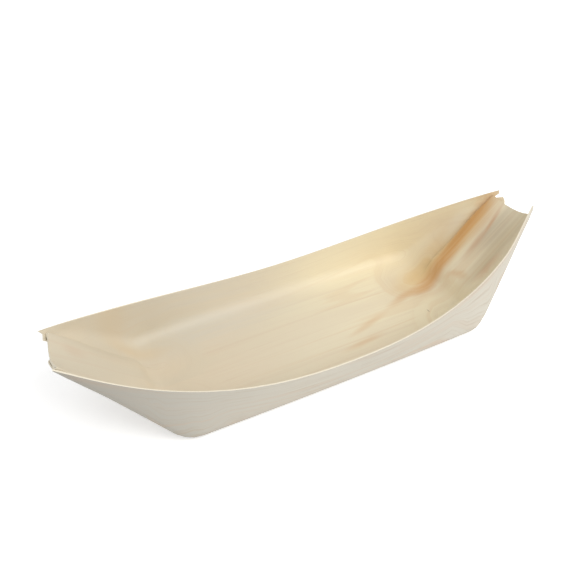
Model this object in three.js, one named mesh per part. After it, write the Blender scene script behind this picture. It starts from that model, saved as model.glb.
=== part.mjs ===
// A food boat folded from one sheet of thin wood veneer, standing on its flat floor.
// X runs along the boat, Y across it and Z up, and the middle of the floor's underside is the origin.
// The sheet's middle surface is worked out over the flat sheet, and half the veneer is added on each side.
// Each end panel is a strip that rises from the floor. The sheet beside it makes a pleat: it turns back
// behind the panel at a sharp crease, turns again near the middle, and runs out to the side wall.
import * as THREE from "three";

// The veneer, in millimetres
const VENEER = 0.7;
const PLY_GAP = 0.3;

// The rim, from the middle of the boat to the corners of the sheet, measured to the sheet's middle
const RIM_LENGTH = 248.7;
const RIM_WIDTH = 81.2;
const RIM_HEIGHT = 18.4;
const TIP_WIDTH = 25.8;
const TIP_HEIGHT = 45.2;
const RIM_NARROWING_POWER = 2.67;
const RIM_RISE_POWER = 2.1;

// The floor, between the lines where it would meet the end slopes and the walls if the bends were sharp
const FLOOR_LENGTH = 161.4;
const FLOOR_WIDTH = 74.8;
const END_BEND_RADIUS = 13;
const WALL_BEND_REACH = 6;
const WALL_BEND_SHARE = 0.6;
const CORNER_SPREAD = 0.3;

// The end panel, with its two creases and the trough between them
const PANEL_WIDTH = 26.2;
const PANEL_TROUGH = 4;
const PANEL_TROUGH_POWER = 1.5;
const PANEL_EDGE_HOLLOW = 1;

// The pleat behind the panel: where it starts, and where its hidden crease ends
const PLEAT_START = 6;
const PLEAT_RUN = 26;
const PLEAT_WIDENING_POWER = 1.5;
const SEAM_HALF_GAP = 1.3;
const SEAM_SHORTFALL = 3;

// How far each ear stands past the end of the panel beside it
const EAR_LENGTH = 4.1;
const LIFTED_EAR_LENGTH = 2;
const SHORT_EAR_LENGTH = 0.8;

// The ears at the -X end are narrow: their cut runs in over this share of the hidden ply
const NARROW_EAR_SHARE = 0.5;

// A splinter is lost from one ear, along the grain
const SPLINTER_WIDTH = 2.7;
const SPLINTER_LENGTH = 5.2;
const SPLINTER_TAPER = 1.6;
const SPLINTER_TO_RIM = 2.1;
const SPLINTER_ROOT_WIDTH = 0.3;

// Another ear has lifted
const EAR_LIFT = 4;
const EAR_LEAN = 1.2;
const EAR_LIFT_REACH = 26;

// How far each crease moves outwards on its way down, and along how much of the panel it does so.
// Beside the lifted ear it moves further.
const CREASE_SPLAY = 2.2;
const CREASE_SPLAY_RUN = 20;
const LIFTED_CREASE_SPLAY = 10.5;
const LIFTED_CREASE_SPLAY_RUN = 50;

// How finely the sheet is divided
const FLOOR_STATIONS = 7;
const BEND_STATIONS = 6;
const SLOPE_STATIONS = 7;
const PANEL_COLUMNS = 3;
const FOLD_COLUMNS = 4;
const WRAP_COLUMNS = 2;
const BEND_COLUMNS = 5;
const LEAST_COLUMN = 0.45;
const CURVE_STEPS = 24;

const clamp = THREE.MathUtils.clamp;
const lerp = THREE.MathUtils.lerp;
const smooth = (value, from, to) => THREE.MathUtils.smoothstep(value, from, to);

const LENGTH = RIM_LENGTH / 2;
const TIP_Y = TIP_WIDTH / 2;
const FLOOR_Z = VENEER / 2;
const FLOOR_X = FLOOR_LENGTH / 2;
const FOLD_RADIUS = (VENEER + PLY_GAP) / 2;
const PANEL_HALF = PANEL_WIDTH / 2 - VENEER / 2 - FOLD_RADIUS;
const SLOPE = Math.atan2(TIP_HEIGHT - FLOOR_Z, LENGTH - FLOOR_X);
const BEND_START = FLOOR_X - END_BEND_RADIUS * Math.tan(SLOPE / 2);
const BEND_END = BEND_START + END_BEND_RADIUS * SLOPE;

// Lengths along the sheet's middle line, from the middle of the boat
const TIP_U = BEND_END + (LENGTH - spine(BEND_END).x) / Math.cos(SLOPE);
const PANEL_U = TIP_U - EAR_LENGTH;
const SEAM_U = PANEL_U - SEAM_SHORTFALL;
const PLEAT_U = FLOOR_X - PLEAT_START;
const PLEAT_END = PLEAT_U + PLEAT_RUN;

// The sheet's four quarters, which differ only at their ears and in the creases beside them
const EAR = { ear: EAR_LENGTH, earShare: 1, splay: CREASE_SPLAY, splayRun: CREASE_SPLAY_RUN, lift: 0 };
const LIFTED = { splay: LIFTED_CREASE_SPLAY, splayRun: LIFTED_CREASE_SPLAY_RUN, lift: EAR_LIFT };
const QUARTERS = [
  { ...EAR, end: 1, side: 1, splintered: true },
  { ...EAR, ...LIFTED, end: 1, side: -1, ear: LIFTED_EAR_LENGTH },
  { ...EAR, end: -1, side: 1, earShare: NARROW_EAR_SHARE },
  { ...EAR, end: -1, side: -1, ear: SHORT_EAR_LENGTH, earShare: NARROW_EAR_SHARE },
];

// The middle line of the outer ply: flat floor, round bend, straight slope up to the tips.
function spine(u) {
  const angle = clamp((u - BEND_START) / END_BEND_RADIUS, 0, SLOPE);
  const past = Math.max(u - BEND_END, 0);
  const x = Math.min(u, BEND_START) + END_BEND_RADIUS * Math.sin(angle) + past * Math.cos(SLOPE);
  const z = FLOOR_Z + END_BEND_RADIUS * (1 - Math.cos(angle)) + past * Math.sin(SLOPE);
  return { x, z, angle };
}

// The rim is lowest and widest in the middle of the boat.
function rim(x) {
  const share = x / LENGTH;
  return {
    y: lerp(RIM_WIDTH / 2, TIP_Y, share ** RIM_NARROWING_POWER),
    z: lerp(RIM_HEIGHT, TIP_HEIGHT, share ** RIM_RISE_POWER),
  };
}

// Where the bottom would meet the wall if the bend between them were sharp.
function cornerY(u) {
  const share = clamp((u - BEND_START) / (TIP_U - BEND_START), 0, 1);
  return lerp(FLOOR_WIDTH / 2, TIP_Y + CORNER_SPREAD, share);
}

// How far the end sinks into its trough, which is deepest in the middle and at the top.
function trough(u, y) {
  const share = clamp((u - BEND_START) / (PANEL_U - BEND_START), 0, 1.1);
  return PANEL_TROUGH * share ** PANEL_TROUGH_POWER * Math.max(0, 1 - (y / cornerY(u)) ** 2);
}

// Half the panel's width between its creases, at u. The quarters meet in the middle of the boat, so
// there the line that leads to the crease is at the same place in each.
function creaseY(u, quarter) {
  const share = clamp((TIP_U - quarter.ear - u) / quarter.splayRun, 0, 1);
  const splay = quarter.splay * Math.sin((Math.PI / 2) * share);
  return PANEL_HALF + splay * smooth(u, 0, PLEAT_U);
}

// The pleat at u: the angle its two creases have turned, how high it lifts the panel, and where the
// hidden crease runs.
function pleat(u, quarter) {
  const turn = Math.PI * smooth(u, PLEAT_U, PLEAT_END);
  const share = clamp((u - PLEAT_U) / (SEAM_U - PLEAT_U), 0, 1);
  const width = (PANEL_HALF - SEAM_HALF_GAP) * share ** PLEAT_WIDENING_POWER;
  const rise = 2 * FOLD_RADIUS * (1 - Math.cos(turn)) + width * Math.sin(turn);
  const wrapY = creaseY(u, quarter) + 2 * FOLD_RADIUS * Math.sin(turn) + width * Math.cos(turn);
  return { turn, rise, wrapY };
}

// A point at y across the end, raised from the outer ply by rise and lowered by the trough.
function onEnd(u, y, rise) {
  const line = spine(u);
  const up = rise - trough(u, y);
  return new THREE.Vector3(line.x - Math.sin(line.angle) * up, y, line.z + Math.cos(line.angle) * up);
}

// The outer ply from the rim down the wall, round the bend and in along the bottom to the pleat.
// On the lifted ear the rim stands higher and leans inwards.
function outerSection(u, quarter) {
  const line = spine(u);
  const edge = rim(line.x);
  const lift = quarter.lift * smooth(line.x, LENGTH - EAR_LIFT_REACH, LENGTH);
  const corner = new THREE.Vector3(line.x, cornerY(u), line.z);
  const top = new THREE.Vector3(line.x, edge.y - (EAR_LEAN * lift) / EAR_LIFT, edge.z + lift);
  const reach = Math.min(WALL_BEND_REACH, WALL_BEND_SHARE * corner.distanceTo(top));
  const wallEnd = corner.clone().add(top.clone().sub(corner).setLength(reach));
  const bottomEnd = corner.clone().setY(corner.y - reach);
  const bend = new THREE.QuadraticBezierCurve3(wallEnd, corner, bottomEnd);
  const path = new THREE.CurvePath();
  path.add(new THREE.LineCurve3(top, wallEnd));
  path.add(bend);
  path.add(new THREE.LineCurve3(bottomEnd, bottomEnd.clone().setY(pleat(u, quarter).wrapY)));
  for (const curve of path.curves) curve.arcLengthDivisions = CURVE_STEPS;
  return { path, wall: top.distanceTo(wallEnd), bend: bend.getLength() };
}

// The width of the gap that the lost splinter left, at u.
function splinterGap(u) {
  const start = TIP_U - SPLINTER_LENGTH;
  return Math.max(SPLINTER_ROOT_WIDTH, SPLINTER_WIDTH * clamp((u - start) / SPLINTER_TAPER, 0, 1));
}

// Distances from the rim at which the outer ply is divided. Two of them run along the splinter.
function outerDistances(u, quarter) {
  const section = outerSection(u, quarter);
  const total = section.path.getLength();
  const near = smooth(u, BEND_END, TIP_U - SPLINTER_LENGTH);
  const middle = SPLINTER_TO_RIM + SPLINTER_WIDTH / 2;
  const first = lerp(section.wall / 3, middle - splinterGap(u) / 2, near);
  const second = lerp((section.wall * 2) / 3, middle + splinterGap(u) / 2, near);
  const distances = [0, first, second];
  for (let k = 0; k <= BEND_COLUMNS; k++) {
    const onBend = section.wall + (section.bend * k) / BEND_COLUMNS;
    distances.push(Math.max(onBend, second + (k + 1) * LEAST_COLUMN));
  }
  const last = distances[distances.length - 1];
  for (let k = 1; k <= WRAP_COLUMNS; k++) distances.push(lerp(last, total, k / WRAP_COLUMNS));
  return { path: section.path, total, distances };
}

const OUTER_COLUMNS = 3 + BEND_COLUMNS + WRAP_COLUMNS;

// The columns of a quarter of the sheet, from the middle line to the rim. Each gives the distance
// along the sheet at which it ends and, for any distance along the sheet, a point of the middle surface.
function columns(quarter) {
  const list = [];
  const ears = QUARTERS.filter((other) => other.end === quarter.end).map((other) => other.ear);
  const middleEnd = TIP_U - (ears[0] + ears[1]) / 2;
  const panelEnd = TIP_U - quarter.ear;
  const seamEnd = panelEnd - SEAM_SHORTFALL;
  for (let k = 0; k <= PANEL_COLUMNS; k++) {
    const share = k / PANEL_COLUMNS;
    list.push({
      end: lerp(middleEnd, panelEnd, share) - PANEL_EDGE_HOLLOW * (1 - share * share),
      at: (u) => onEnd(u, creaseY(u, quarter) * share, pleat(u, quarter).rise),
    });
  }
  for (let k = 1; k <= FOLD_COLUMNS; k++) {
    list.push({
      end: panelEnd,
      at: (u) => {
        const { turn, rise } = pleat(u, quarter);
        const angle = (turn * k) / FOLD_COLUMNS;
        const y = creaseY(u, quarter) + FOLD_RADIUS * Math.sin(angle);
        return onEnd(u, y, rise - FOLD_RADIUS * (1 - Math.cos(angle)));
      },
    });
  }
  for (let k = 0; k <= FOLD_COLUMNS; k++) {
    list.push({
      end: seamEnd,
      at: (u) => {
        const { turn, wrapY } = pleat(u, quarter);
        const angle = turn * (1 - k / FOLD_COLUMNS);
        return onEnd(u, wrapY - FOLD_RADIUS * Math.sin(angle), FOLD_RADIUS * (1 - Math.cos(angle)));
      },
    });
  }
  for (let k = OUTER_COLUMNS - 1; k >= 0; k--) {
    const last = outerDistances(seamEnd, quarter);
    const share = last.distances[k] / last.total;
    list.push({
      end: lerp(TIP_U, seamEnd, clamp(share / quarter.earShare, 0, 1)),
      inSplinter: quarter.splintered && k === 2,
      at: (u) => {
        const { path, total, distances } = outerDistances(u, quarter);
        const point = path.getPointAt(clamp(distances[k] / total, 0, 1));
        const sunk = onEnd(u, point.y, 0);
        const flat = spine(u);
        return point.add(new THREE.Vector3(sunk.x - flat.x, 0, sunk.z - flat.z));
      },
    });
  }
  return list;
}

// Places along the sheet: even shares of the floor, then shares of each column's way to its end.
function stations() {
  const list = [];
  const split = BEND_START - PLEAT_START;
  for (let k = 0; k < FLOOR_STATIONS; k++) {
    const u = (split * k) / FLOOR_STATIONS;
    list.push(() => u);
  }
  const slopeStart = (BEND_END + PLEAT_START - split) / (PANEL_U - split);
  const slopeEnd = 1 - SPLINTER_LENGTH / (TIP_U - split);
  const shares = [];
  for (let k = 0; k < BEND_STATIONS; k++) shares.push((slopeStart * k) / BEND_STATIONS);
  for (let k = 0; k < SLOPE_STATIONS; k++) shares.push(lerp(slopeStart, slopeEnd, k / SLOPE_STATIONS));
  shares.push(slopeEnd, lerp(slopeEnd, 1, SPLINTER_TAPER / SPLINTER_LENGTH), 1);
  for (const share of shares) list.push((end) => lerp(split, end, share));
  return list;
}

const STATIONS = stations();
const SPLINTER_STATION = STATIONS.length - 3;

// The middle surface as triangles that share their points.
function middleSurface() {
  const points = [];
  const faces = [];
  const known = new Map();
  function indexOf(point) {
    const key = point.toArray().map((value) => Math.round(value * 1e4)).join(",");
    if (!known.has(key)) {
      known.set(key, points.length);
      points.push(point);
    }
    return known.get(key);
  }
  for (const quarter of QUARTERS) {
    const sheetColumns = columns(quarter);
    const grid = STATIONS.map((station) =>
      sheetColumns.map((column) => {
        const point = column.at(station(column.end));
        return indexOf(new THREE.Vector3(point.x * quarter.end, point.y * quarter.side, point.z));
      }),
    );
    for (let i = 0; i + 1 < STATIONS.length; i++) {
      for (let j = 0; j + 1 < sheetColumns.length; j++) {
        if (sheetColumns[j].inSplinter && i >= SPLINTER_STATION) continue;
        const quad = [grid[i][j], grid[i + 1][j], grid[i + 1][j + 1], grid[i][j + 1]];
        if (quarter.end * quarter.side < 0) quad.reverse();
        addQuad(faces, quad);
      }
    }
  }
  return { points, faces };
}

// Two triangles for four corners in order, without those that have shrunk to a line.
function addQuad(faces, [a, b, c, d]) {
  for (const face of [[a, b, c], [a, c, d]]) {
    if (new Set(face).size === 3) faces.push(face);
  }
}

// The direction away from the sheet at each point, from the faces round it weighted by their angle.
function sheetNormals(points, faces) {
  const normals = points.map(() => new THREE.Vector3());
  for (const face of faces) {
    const corner = face.map((index) => points[index]);
    const across = new THREE.Triangle(...corner).getNormal(new THREE.Vector3());
    face.forEach((index, k) => {
      const one = corner[(k + 1) % 3].clone().sub(corner[k]);
      const two = corner[(k + 2) % 3].clone().sub(corner[k]);
      normals[index].addScaledVector(across, one.angleTo(two));
    });
  }
  return normals.map((normal) => normal.normalize());
}

// Gives the middle surface its thickness: an inner face, an outer face and the cut edge round them.
function thickened({ points, faces }) {
  const normals = sheetNormals(points, faces);
  const position = [];
  for (const half of [VENEER / 2, -VENEER / 2]) {
    points.forEach((point, k) => position.push(...point.clone().addScaledVector(normals[k], half)));
  }
  const count = points.length;
  const index = [];
  const edges = new Set();
  for (const [a, b, c] of faces) {
    index.push(a, b, c, c + count, b + count, a + count);
    edges.add(`${a},${b}`).add(`${b},${c}`).add(`${c},${a}`);
  }
  for (const edge of edges) {
    const [a, b] = edge.split(",").map(Number);
    if (edges.has(`${b},${a}`)) continue;
    index.push(b, a, a + count, b, a + count, b + count);
  }
  const geometry = new THREE.BufferGeometry();
  geometry.setAttribute("position", new THREE.Float32BufferAttribute(position, 3));
  geometry.setIndex(index);
  geometry.computeVertexNormals();
  return geometry;
}

function veneerMaterial() {
  return new THREE.MeshStandardMaterial({ color: 0xdccbb0, roughness: 0.62, metalness: 0 });
}

const sheet = new THREE.Mesh(thickened(middleSurface()), veneerMaterial());
sheet.name = "folded_veneer_sheet";

const boat = new THREE.Group();
boat.add(sheet);

export default boat;
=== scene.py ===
"""Looks of a food boat folded from thin wood veneer, with its floor, lights and camera."""

import math

import bmesh
import bpy
from mathutils import Matrix, Vector


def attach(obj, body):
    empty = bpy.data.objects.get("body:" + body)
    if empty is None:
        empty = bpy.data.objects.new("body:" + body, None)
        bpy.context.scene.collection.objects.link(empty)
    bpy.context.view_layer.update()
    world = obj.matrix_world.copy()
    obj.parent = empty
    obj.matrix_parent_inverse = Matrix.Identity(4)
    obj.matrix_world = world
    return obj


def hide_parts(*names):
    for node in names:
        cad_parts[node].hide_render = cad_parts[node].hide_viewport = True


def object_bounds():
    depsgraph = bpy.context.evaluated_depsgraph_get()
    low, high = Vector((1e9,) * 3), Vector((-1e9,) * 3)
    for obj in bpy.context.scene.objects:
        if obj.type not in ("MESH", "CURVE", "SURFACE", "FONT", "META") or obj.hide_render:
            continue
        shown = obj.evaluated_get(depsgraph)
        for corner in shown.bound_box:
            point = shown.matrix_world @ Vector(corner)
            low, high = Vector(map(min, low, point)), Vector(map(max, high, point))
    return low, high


MM_PER_METRE = 1000.0

# The camera, in degrees, metres and pixels of the photograph
CAMERA_AZIMUTH = 27.64
CAMERA_ELEVATION = 38.02
CAMERA_DISTANCE = 0.36785
CAMERA_NEAREST = 0.01
FOCAL_PIXELS = 723.71
PICTURE_PIXELS = 570
FLOOR_MIDDLE_PIXEL = (309.62, 336.86)
SENSOR_MM = 36.0

# Vertices of the sheet that are closer than this many metres become one
WELD = 1e-6

# Half the width of an end panel in metres. The rim runs outside it, on both sides.
HALF_PANEL = 0.0122

# Faces that meet at more than the first angle belong to different skins of the sheet, and from the
# second angle up the edge between two faces is shaded as a sharp one
SKIN_ANGLE = math.radians(62)
CREASE_ANGLE = math.radians(50)
INSIDE, OUTSIDE, CUT_EDGE = 0, 1, 2

# The light, and the floor under the boat, in metres and watts
KEY_PLACE = (0.46, -0.75, 0.90)
KEY_SIZE = 0.9
KEY_WATTS = 7.8
WORLD_STRENGTH = 0.66
FLOOR_GLOW = 0.42
FLOOR_SIZE = 6.0
FLOOR_DROP = 0.0002

# Colours as they show, from 0 to 255
INSIDE_LEFT = (214, 203, 180)
INSIDE_RIGHT = (240, 229, 199)
INSIDE_TAN = (227, 212, 186)
OUTSIDE_LEFT = (180, 176, 166)
OUTSIDE_RIGHT = (212, 206, 192)
OUTSIDE_LINE = (186, 170, 148)
GRAIN_PINK = (208, 180, 154)
GRAIN_ORANGE = (212, 166, 116)
STREAK_ORANGE = (208, 150, 82)
STREAK_RED = (200, 146, 102)
STREAK_YELLOW = (222, 184, 116)
PANEL_PEACH = (212, 180, 146)
SHADE_OLIVE = (186, 168, 132)
PANEL_PAINTED_SHADE = (184, 170, 146)
WALL_PAINTED_LIGHT = (248, 238, 206)
WALL_PAINTED_SHADE = (216, 212, 200)
MARK_BROWN = (92, 66, 44)
CUT_CREAM = (244, 235, 214)
FLOOR_WHITE = (244, 244, 244)

SPECULAR = 0.3

# Painted light and shade: the veneer is painted darker at the left end and paler towards the right
# end, between these places along the boat in millimetres
INSIDE_PAINTED_LIGHT_SPAN = (-90.0, 60.0)
OUTSIDE_PAINTED_SHADE_SPAN = (-135.0, -10.0)

# Noise of the grain: changes in a millimetre along and across the grain, and the seed
FIBRES = (0.03, 1.9, 3.0)
BANDS = (0.006, 0.28, 11.0)
PATCHES = (0.012, 0.035, 23.0)
INSIDE_CONTOURS = (0.003, 0.06, 41.0)
OUTSIDE_CONTOURS = (0.003, 0.06, 71.0)

# Values of the noise between which each tint comes in
PATCH_SPAN = (0.35, 0.68)
BAND_SPAN = (0.5, 0.78)
FIBRE_SPAN = (0.5, 0.85)
OUTSIDE_FIBRE_SPAN = (0.45, 0.8)
SPECKLE_SPAN = (0.4, 0.8)

# Contour lines: how many there are from the lowest to the highest value of their noise, the part
# of each wave that is drawn as a line, and how strong a line is. Outside, the lines get stronger
# from the first height down to the second, in millimetres.
INSIDE_LINES = 5
OUTSIDE_LINES = 9
LINE_SPAN = (0.72, 1.0)
INSIDE_LINE_STRENGTH = 0.16
OUTSIDE_LINE_STRENGTH = (0.12, 0.40)
OUTSIDE_LINE_HEIGHT = (18.0, 4.0)

# A point is on a wall where it is near the rim or, past the ends of the floor, where it is far
# from the middle line. Each of these comes in between two distances in millimetres.
NEAR_RIM = (24.0, 15.0)
PAST_FLOOR = (72.0, 96.0)
FROM_MIDDLE = (13.5, 17.5)

# Distance from the middle line to the rim across the walls' grain, in millimetres
MIDDLE_TO_RIM = 57.0

# Stains on the inside, and patches of painted light and shade: place and half size along and across
# the boat in millimetres, turn in degrees, colour and strength
STAINS_AND_PAINTED_LIGHT = {
    # Painted light: the far wall's right part paler
    "painted_light_far_wall": ((64, 36), (70, 16), 0, WALL_PAINTED_LIGHT, 0.60),
    # Painted shade: the far wall's left part greyer and darker
    "painted_shade_far_wall": ((-56, 34), (84, 22), 0, WALL_PAINTED_SHADE, 0.65),
    # Painted shade: the right end's panel darker in its middle
    "painted_shade_panel_middle": ((112, -2), (17, 8), 0, PANEL_PAINTED_SHADE, 0.70),
    # Painted shade: olive along the near side of the right end's panel
    "painted_shade_panel_near_side": ((106, -11), (24, 6), 4, SHADE_OLIVE, 0.60),
    "panel_peach": ((111, 7.5), (17, 5.5), 4, PANEL_PEACH, 0.70),
    "far_bend": ((79, 15), (26, 11), 16, STREAK_YELLOW, 0.60),
    # Orange streaks along the right end's far crease and onto the floor: partly stains, partly
    # painted shade in the crease's trough
    "crease_streak_and_shade_wide": ((103, 11.5), (24, 8.5), 5, STREAK_YELLOW, 0.65),
    "crease_streak_and_shade": ((110, 12.8), (19, 5.0), 4, STREAK_ORANGE, 0.75),
    "crease_streak_and_shade_low": ((92, 9.6), (18, 5.6), 11, STREAK_ORANGE, 0.85),
    "crease_streak_and_shade_floor": ((77, 6.5), (15, 6), 20, STREAK_ORANGE, 0.65),
    "panel_streak": ((115, 3.6), (8, 1.6), 16, STREAK_RED, 0.60),
    "panel_streak_low": ((103, 1), (11, 2.6), 6, STREAK_RED, 0.40),
    "floor_arc": ((88, -4), (2.6, 9), 24, STREAK_ORANGE, 0.32),
    "near_bend": ((97, -15.6), (9, 3.4), 0, STREAK_RED, 0.40),
    "floor_patch_far": ((60, 4), (15, 3.4), 18, STREAK_ORANGE, 0.40),
    "floor_patch_middle": ((32, -6), (16, 2.6), 16, STREAK_ORANGE, 0.30),
    "floor_patch_near": ((22, -17), (16, 2.4), 6, STREAK_ORANGE, 0.28),
    "left_patch": ((-112, 7), (6, 5), 0, GRAIN_PINK, 0.30),
    # Partly a yellow stain, partly painted shade in the far bend at the left end
    "left_bend_streak_and_shade": ((-84, 26), (20, 7), -6, STREAK_YELLOW, 0.22),
}

# Each stain and patch of painted light and shade comes in from the first to the second share of its
# half size. It keeps at least a share of its strength where the growth bands' noise is low.
SPOT_EDGE = (1.15, 0.1)
STREAK_SPAN = (0.25, 0.6)
LEAST_STREAK = 0.55

# Noise, as for the grain, that pushes the outlines of the stains and of the patches of painted light
# and shade about: how far along the boat in millimetres, and the share of that across it
SPOT_WAVES = (0.05, 0.16, 5.0)
SPOT_PUSH = 9.0
SPOT_PUSH_ACROSS = 0.35

# Small dark marks on the inside: place and half size in millimetres, and strength
MARKS = {
    "speck": ((-119.9, -15.1), (0.7, 0.4), 0.9),
    "nick": ((65.3, -11.8), (0.35, 1.5), 0.5),
}

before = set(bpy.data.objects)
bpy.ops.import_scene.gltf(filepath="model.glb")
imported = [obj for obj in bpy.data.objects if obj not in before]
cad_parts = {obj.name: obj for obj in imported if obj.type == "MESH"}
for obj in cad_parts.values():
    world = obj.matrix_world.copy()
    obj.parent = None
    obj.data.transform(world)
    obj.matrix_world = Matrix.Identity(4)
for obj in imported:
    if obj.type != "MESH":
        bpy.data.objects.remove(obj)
cad_low, cad_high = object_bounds()


def linear(colour):
    """An sRGB colour, as it shows, as the linear values that a shader takes."""
    shares = [value / 255 for value in colour]
    return [s / 12.92 if s <= 0.04045 else ((s + 0.055) / 1.055) ** 2.4 for s in shares] + [1.0]


def skins(sheet):
    """The faces of the sheet in groups that meet at sharp edges, largest first."""
    groups = []
    left = set(sheet.faces)
    while left:
        group = {left.pop()}
        grown = list(group)
        while grown:
            face = grown.pop()
            for edge in face.edges:
                if edge.calc_face_angle(math.pi) > SKIN_ANGLE:
                    continue
                fresh = [f for f in edge.link_faces if f in left]
                left.difference_update(fresh)
                group.update(fresh)
                grown.extend(fresh)
        groups.append(group)
    return sorted(groups, key=lambda group: -sum(face.calc_area() for face in group))


def sheet_piece():
    """The folded sheet, with the inside, the outside and the cut edge told apart."""
    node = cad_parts["folded_veneer_sheet"]
    sheet = bmesh.new()
    sheet.from_mesh(node.data)
    bmesh.ops.remove_doubles(sheet, verts=sheet.verts, dist=WELD)
    for face in sheet.faces:
        face.smooth = True
        face.material_index = CUT_EDGE
    for group in skins(sheet)[:2]:
        rise = sum(face.normal.z * face.calc_area() for face in group)
        for face in group:
            face.material_index = INSIDE if rise > 0 else OUTSIDE
    for edge in sheet.edges:
        edge.smooth = edge.calc_face_angle(0) < CREASE_ANGLE
    rim = rim_line(sheet)
    from_rim = sheet.verts.layers.float.new("from_rim")
    for vertex in sheet.verts:
        vertex[from_rim] = distance_to(rim, vertex.co)
    mesh = bpy.data.meshes.new("food_boat")
    sheet.to_mesh(mesh)
    sheet.free()
    piece = bpy.data.objects.new("food_boat", mesh)
    bpy.context.scene.collection.objects.link(piece)
    return piece


def rim_line(sheet):
    """The points of the rim's inner edge, in order along the boat, one list for each side."""
    sides = {-1: [], 1: []}
    for vertex in sheet.verts:
        kinds = {face.material_index for face in vertex.link_faces}
        if kinds >= {INSIDE, CUT_EDGE} and abs(vertex.co.y) > HALF_PANEL:
            sides[1 if vertex.co.y > 0 else -1].append(vertex.co.copy())
    return {side: sorted(points, key=lambda p: p.x) for side, points in sides.items()}


def distance_to(rim, point):
    """How far a point is from the rim on its side."""
    line = rim[1 if point.y > 0 else -1]
    best = math.inf
    for start, end in zip(line, line[1:]):
        way = end - start
        share = (point - start).dot(way) / max(way.length_squared, WELD**2)
        near = start + way * min(max(share, 0), 1)
        best = min(best, (point - near).length)
    return best


class Nodes:
    """Short calls for the shader nodes of one material or of the world."""

    def __init__(self, owner):
        owner.use_nodes = True
        self.tree = owner.node_tree
        self.tree.nodes.clear()

    def add(self, kind, **settings):
        node = self.tree.nodes.new(kind)
        for name, value in settings.items():
            setattr(node, name, value)
        return node

    def link(self, value, socket):
        """Connect another node's output to the socket, or set a plain value."""
        if isinstance(value, bpy.types.NodeSocket):
            self.tree.links.new(value, socket)
        else:
            socket.default_value = value

    def math(self, operation, *values):
        node = self.add("ShaderNodeMath", operation=operation)
        for value, socket in zip(values, node.inputs):
            self.link(value, socket)
        return node.outputs[0]

    def times(self, first, second):
        return self.math("MULTIPLY", first, second)

    def ramp(self, value, low, high, new_low=0.0, new_high=1.0):
        node = self.add("ShaderNodeMapRange", interpolation_type="SMOOTHSTEP")
        for part, socket in zip((value, low, high, new_low, new_high), node.inputs):
            self.link(part, socket)
        return node.outputs[0]

    def vector(self, x, y, z):
        node = self.add("ShaderNodeCombineXYZ")
        for value, socket in zip((x, y, z), node.inputs):
            self.link(value, socket)
        return node.outputs[0]

    def noise(self, vector, detail=2.0, roughness=0.5):
        node = self.add("ShaderNodeTexNoise")
        self.link(vector, node.inputs["Vector"])
        node.inputs["Scale"].default_value = 1.0
        node.inputs["Detail"].default_value = detail
        node.inputs["Roughness"].default_value = roughness
        return node.outputs["Fac"]

    def mix(self, share, first, second):
        """A blend of two colours."""
        node = self.add("ShaderNodeMix", data_type="RGBA")
        for value, place in ((share, 0), (first, 6), (second, 7)):
            self.link(value, node.inputs[place])
        return node.outputs[2]

    def between(self, share, first, second):
        """A blend of two numbers."""
        node = self.add("ShaderNodeMix", data_type="FLOAT")
        for value, place in ((share, 0), (first, 2), (second, 3)):
            self.link(value, node.inputs[place])
        return node.outputs[0]

    def tint(self, colour, value, span, tint, strength):
        """The colour with a tint that comes in as the value passes over the span."""
        share = self.ramp(value, *span, 0.0, strength)
        return self.mix(share, colour, linear(tint))

    def place(self):
        """The point on the boat as separate x, y and z in millimetres."""
        where = self.add("ShaderNodeTexCoord")
        scaled = self.add("ShaderNodeVectorMath", operation="SCALE")
        self.link(where.outputs["Object"], scaled.inputs[0])
        scaled.inputs["Scale"].default_value = MM_PER_METRE
        parts = self.add("ShaderNodeSeparateXYZ")
        self.link(scaled.outputs[0], parts.inputs[0])
        return parts.outputs

    def seen(self):
        """1 for what is seen directly, in a reflection or through glass, and otherwise 0."""
        path = self.add("ShaderNodeLightPath")
        seen = self.math("MAXIMUM", path.outputs["Is Camera Ray"], path.outputs["Is Glossy Ray"])
        return self.math("MAXIMUM", seen, path.outputs["Is Transmission Ray"])

    def finish(self, colour, height, roughness, bump_mm):
        """The surface with its colour, and with fine relief of a depth in millimetres."""
        bump = self.add("ShaderNodeBump")
        bump.inputs["Strength"].default_value = 1.0
        bump.inputs["Distance"].default_value = bump_mm / MM_PER_METRE
        self.link(height, bump.inputs["Height"])
        shader = self.add("ShaderNodeBsdfPrincipled")
        self.link(colour, shader.inputs["Base Color"])
        self.link(bump.outputs[0], shader.inputs["Normal"])
        shader.inputs["Roughness"].default_value = roughness
        shader.inputs["Specular IOR Level"].default_value = SPECULAR
        out = self.add("ShaderNodeOutputMaterial")
        self.link(shader.outputs[0], out.inputs["Surface"])


def wall_place(nodes, place):
    """How surely a point is on a wall, from 0 to 1, and its distance across the walls' grain."""
    x, y, _ = place
    attribute = nodes.add("ShaderNodeAttribute", attribute_name="from_rim")
    from_rim = nodes.times(attribute.outputs["Fac"], MM_PER_METRE)
    side = nodes.math("SIGN", y)
    across_wall = nodes.times(side, nodes.math("SUBTRACT", MIDDLE_TO_RIM, from_rim))
    near_rim = nodes.ramp(from_rim, *NEAR_RIM)
    past_floor = nodes.ramp(nodes.math("ABSOLUTE", x), *PAST_FLOOR)
    from_middle = nodes.ramp(nodes.math("ABSOLUTE", y), *FROM_MIDDLE)
    return nodes.between(past_floor, near_rim, from_middle), across_wall


def stretched(nodes, along, across, changes):
    """A place in a noise that is drawn out along the grain."""
    changes_along, changes_across, seed = changes
    return nodes.vector(nodes.times(along, changes_along), nodes.times(across, changes_across), seed)


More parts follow.
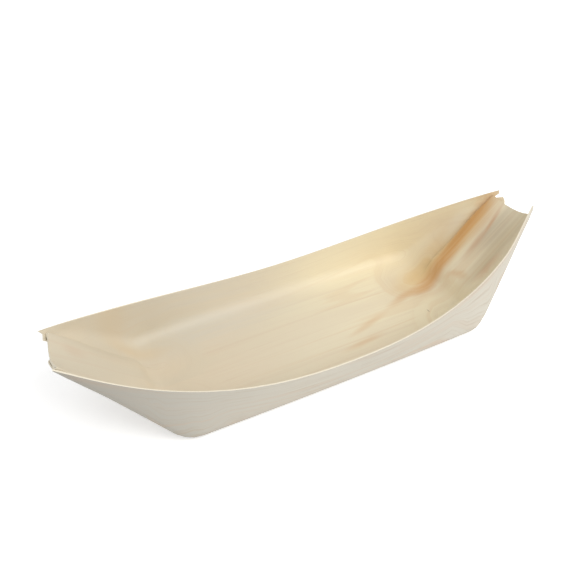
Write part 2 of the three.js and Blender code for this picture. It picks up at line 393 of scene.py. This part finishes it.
def grain_along(nodes, along, across, lines, contours):
    """Fine fibres, growth bands, broad patches and thin contour lines, each from 0 to 1.

    The contour lines are those that a knife leaves where it runs nearly along the growth rings.
    """
    fibres = nodes.noise(stretched(nodes, along, across, FIBRES), detail=3.0, roughness=0.6)
    bands = nodes.noise(stretched(nodes, along, across, BANDS), detail=3.0, roughness=0.55)
    patches = nodes.noise(stretched(nodes, along, across, PATCHES))
    height = nodes.noise(stretched(nodes, along, across, contours), roughness=0.45)
    wave = nodes.math("SINE", nodes.times(height, lines * 2 * math.pi))
    return fibres, bands, patches, nodes.ramp(wave, *LINE_SPAN)


def grain(nodes, place, lines, contours):
    """The bottom's grain, straight along the boat, and the walls' grain, which follows the rim."""
    x, y, _ = place
    on_wall, across_wall = wall_place(nodes, place)
    bottom = grain_along(nodes, x, y, lines, contours)
    wall = grain_along(nodes, x, across_wall, lines, contours)
    return [nodes.between(on_wall, low, high) for low, high in zip(bottom, wall)]


def wavy(nodes, place):
    """The same place pushed about a little, so that a spot's outline isn't a plain oval."""
    x, y, z = place
    waves = nodes.noise(stretched(nodes, x, y, SPOT_WAVES), detail=3.0)
    push = nodes.times(nodes.math("SUBTRACT", waves, 0.5), SPOT_PUSH)
    push_across = nodes.times(push, SPOT_PUSH_ACROSS)
    return nodes.math("ADD", x, push), nodes.math("ADD", y, push_across), z


def soft_spot(nodes, place, middle, half_size, turn):
    """From 0 outside a soft oval to 1 in its middle."""
    x, y, _ = place
    cosine = math.cos(math.radians(turn))
    sine = math.sin(math.radians(turn))
    dx = nodes.math("SUBTRACT", x, float(middle[0]))
    dy = nodes.math("SUBTRACT", y, float(middle[1]))
    along = nodes.math("ADD", nodes.times(dx, cosine), nodes.times(dy, sine))
    across = nodes.math("SUBTRACT", nodes.times(dy, cosine), nodes.times(dx, sine))
    along = nodes.math("DIVIDE", along, float(half_size[0]))
    across = nodes.math("DIVIDE", across, float(half_size[1]))
    squares = nodes.math("ADD", nodes.math("POWER", along, 2.0), nodes.math("POWER", across, 2.0))
    return nodes.ramp(nodes.math("SQRT", squares), *SPOT_EDGE)


def with_spots_and_painted_light(nodes, place, bands, colour):
    """The colour with its stains and patches of painted light and shade, streaky along the growth
    bands, and its small dark marks.
    """
    wavy_place = wavy(nodes, place)
    streaks = nodes.ramp(bands, *STREAK_SPAN, LEAST_STREAK, 1.0)
    # Stains, and patches of painted light and shade
    for middle, half_size, turn, tint, strength in STAINS_AND_PAINTED_LIGHT.values():
        spot = nodes.times(soft_spot(nodes, wavy_place, middle, half_size, turn), streaks)
        colour = nodes.mix(nodes.times(spot, strength), colour, linear(tint))
    for middle, half_size, strength in MARKS.values():
        spot = soft_spot(nodes, place, middle, half_size, 0)
        colour = nodes.mix(nodes.times(spot, strength), colour, linear(MARK_BROWN))
    return colour


def inside_material():
    """Cream, with stains and with painted light and shade that make it paler towards the right end,
    where faint contour lines show.
    """
    material = bpy.data.materials.new("veneer_inside")
    nodes = Nodes(material)
    place = nodes.place()
    fibres, bands, patches, lines = grain(nodes, place, INSIDE_LINES, INSIDE_CONTOURS)
    # Painted light and shade: darker at the left end, paler towards the right end
    to_right = nodes.ramp(place[0], *INSIDE_PAINTED_LIGHT_SPAN)
    colour = nodes.mix(to_right, linear(INSIDE_LEFT), linear(INSIDE_RIGHT))
    colour = nodes.tint(colour, patches, PATCH_SPAN, INSIDE_TAN, strength=0.7)
    colour = nodes.tint(colour, bands, BAND_SPAN, GRAIN_PINK, strength=0.22)
    share = nodes.times(nodes.times(lines, to_right), INSIDE_LINE_STRENGTH)
    colour = nodes.mix(share, colour, linear(GRAIN_ORANGE))
    colour = with_spots_and_painted_light(nodes, place, bands, colour)
    colour = nodes.tint(colour, fibres, FIBRE_SPAN, GRAIN_PINK, strength=0.28)
    nodes.finish(colour, fibres, roughness=0.6, bump_mm=0.05)
    return material


def outside_material():
    """Greyer than the inside and painted darker at the left end as painted shade, with contour lines
    that are clearest near the floor.
    """
    material = bpy.data.materials.new("veneer_outside")
    nodes = Nodes(material)
    place = nodes.place()
    fibres, bands, _, lines = grain(nodes, place, OUTSIDE_LINES, OUTSIDE_CONTOURS)
    # Painted shade: darker at the left end, paler towards the right end
    to_right = nodes.ramp(place[0], *OUTSIDE_PAINTED_SHADE_SPAN)
    colour = nodes.mix(to_right, linear(OUTSIDE_LEFT), linear(OUTSIDE_RIGHT))
    colour = nodes.tint(colour, bands, BAND_SPAN, GRAIN_PINK, strength=0.30)
    line_strength = nodes.ramp(place[2], *OUTSIDE_LINE_HEIGHT, *OUTSIDE_LINE_STRENGTH)
    colour = nodes.mix(nodes.times(lines, line_strength), colour, linear(GRAIN_PINK))
    colour = nodes.tint(colour, fibres, OUTSIDE_FIBRE_SPAN, OUTSIDE_LINE, strength=0.55)
    nodes.finish(colour, fibres, roughness=0.65, bump_mm=0.05)
    return material


def cut_edge_material():
    """Pale, with a fine tan speckle."""
    material = bpy.data.materials.new("veneer_cut_edge")
    nodes = Nodes(material)
    speckle = nodes.noise(nodes.vector(*nodes.place()))
    colour = nodes.tint(linear(CUT_CREAM), speckle, SPECKLE_SPAN, INSIDE_TAN, strength=0.35)
    nodes.finish(colour, speckle, roughness=0.75, bump_mm=0.03)
    return material


def make_boat():
    """The sheet in its materials, shown in place of the solid."""
    piece = sheet_piece()
    for material in (inside_material(), outside_material(), cut_edge_material()):
        piece.data.materials.append(material)
    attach(piece, "root")
    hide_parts("folded_veneer_sheet")


def make_floor():
    """A large pale floor that shows white and keeps the shadow."""
    bpy.ops.mesh.primitive_plane_add(size=FLOOR_SIZE, location=(0, 0, cad_low.z - FLOOR_DROP))
    floor = bpy.context.object
    floor.name = "floor"
    material = bpy.data.materials.new("floor_white")
    nodes = Nodes(material)
    diffuse = nodes.add("ShaderNodeBsdfDiffuse")
    diffuse.inputs["Color"].default_value = linear(FLOOR_WHITE)
    glow = nodes.add("ShaderNodeEmission")
    glow.inputs["Color"].default_value = (1, 1, 1, 1)
    nodes.link(nodes.times(nodes.seen(), FLOOR_GLOW), glow.inputs["Strength"])
    both = nodes.add("ShaderNodeAddShader")
    nodes.link(diffuse.outputs[0], both.inputs[0])
    nodes.link(glow.outputs[0], both.inputs[1])
    out = nodes.add("ShaderNodeOutputMaterial")
    nodes.link(both.outputs[0], out.inputs["Surface"])
    floor.data.materials.append(material)


def make_world():
    """White to the camera and in reflections, and a plain soft light for everything else."""
    world = bpy.data.worlds.new("studio")
    bpy.context.scene.world = world
    nodes = Nodes(world)
    strength = nodes.ramp(nodes.seen(), 0.0, 1.0, WORLD_STRENGTH, 1.0)
    background = nodes.add("ShaderNodeBackground")
    background.inputs["Color"].default_value = (1, 1, 1, 1)
    nodes.link(strength, background.inputs["Strength"])
    out = nodes.add("ShaderNodeOutputWorld")
    nodes.link(background.outputs[0], out.inputs["Surface"])


def make_key_light():
    """A large soft light from above, the right and the front, pointed at the boat."""
    light = bpy.data.lights.new("key", "AREA")
    light.shape = "SQUARE"
    light.size = KEY_SIZE
    light.energy = KEY_WATTS
    lamp = bpy.data.objects.new("key", light)
    lamp.location = KEY_PLACE
    lamp.rotation_mode = "QUATERNION"
    lamp.rotation_quaternion = (-Vector(KEY_PLACE)).to_track_quat("-Z", "Y")
    bpy.context.scene.collection.objects.link(lamp)


def make_camera():
    """The photograph's camera, from the pixel at which it shows the middle of the floor."""
    azimuth = math.radians(CAMERA_AZIMUTH)
    elevation = math.radians(CAMERA_ELEVATION)
    level = math.cos(elevation)
    forward = Vector((math.sin(azimuth) * level, math.cos(azimuth) * level, -math.sin(elevation)))
    right = Vector((math.cos(azimuth), -math.sin(azimuth), 0))
    up = right.cross(forward)
    middle = PICTURE_PIXELS / 2
    to_right = (FLOOR_MIDDLE_PIXEL[0] - middle) / FOCAL_PIXELS * CAMERA_DISTANCE
    to_top = (middle - FLOOR_MIDDLE_PIXEL[1]) / FOCAL_PIXELS * CAMERA_DISTANCE
    place = -(right * to_right + up * to_top + forward * CAMERA_DISTANCE)
    turn = Matrix((right, up, -forward)).transposed().to_4x4()
    view = bpy.data.cameras.new("camera")
    view.sensor_width = SENSOR_MM
    view.lens = FOCAL_PIXELS / PICTURE_PIXELS * SENSOR_MM
    view.clip_start = CAMERA_NEAREST
    camera = bpy.data.objects.new("camera", view)
    camera.matrix_world = Matrix.Translation(place) @ turn
    bpy.context.scene.collection.objects.link(camera)
    bpy.context.scene.camera = camera


make_boat()
make_floor()
make_world()
make_key_light()
make_camera()
bpy.context.scene.view_settings.view_transform = "Standard"
